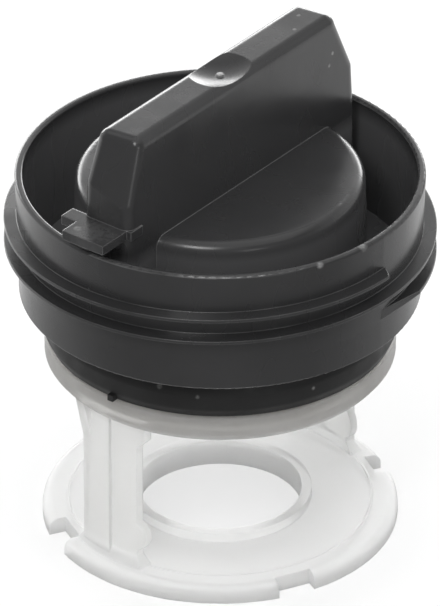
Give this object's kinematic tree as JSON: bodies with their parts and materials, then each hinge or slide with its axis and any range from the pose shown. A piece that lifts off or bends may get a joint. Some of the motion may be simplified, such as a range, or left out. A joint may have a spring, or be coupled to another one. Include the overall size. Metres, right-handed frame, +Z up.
{
  "type": "washer pump filter",
  "caption": "Screw-in drain pump filter for a washing machine: threaded cap with a bar handle and lock tongue, rubber seal, and an open two-post trap insert on a ring foot.",
  "frame": {"origin": "centre of the foot flange's underside, on the screw axis", "axes": "+Z up the screw axis towards the bar handle, the bar lies along Y and the lock tongue points to -Y"},
  "size_m": [0.0654, 0.0659, 0.0776],
  "materials": {
    "cap_plastic": "satin dark grey moulding",
    "seal_rubber": "smooth black rubber",
    "insert_plastic": "milky white moulding"
  },
  "bodies": {
    "insert": {"trap_insert": "insert_plastic"},
    "cap": {"screw_cap": "cap_plastic", "seal_ring": "seal_rubber"}
  },
  "joints": [
    {"name": "cap_turn", "type": "hinge", "parent": "insert", "child": "cap", "pos_m": [0, 0, 0.03], "axis": [0, 0, 1], "continuous": true}
  ]
}
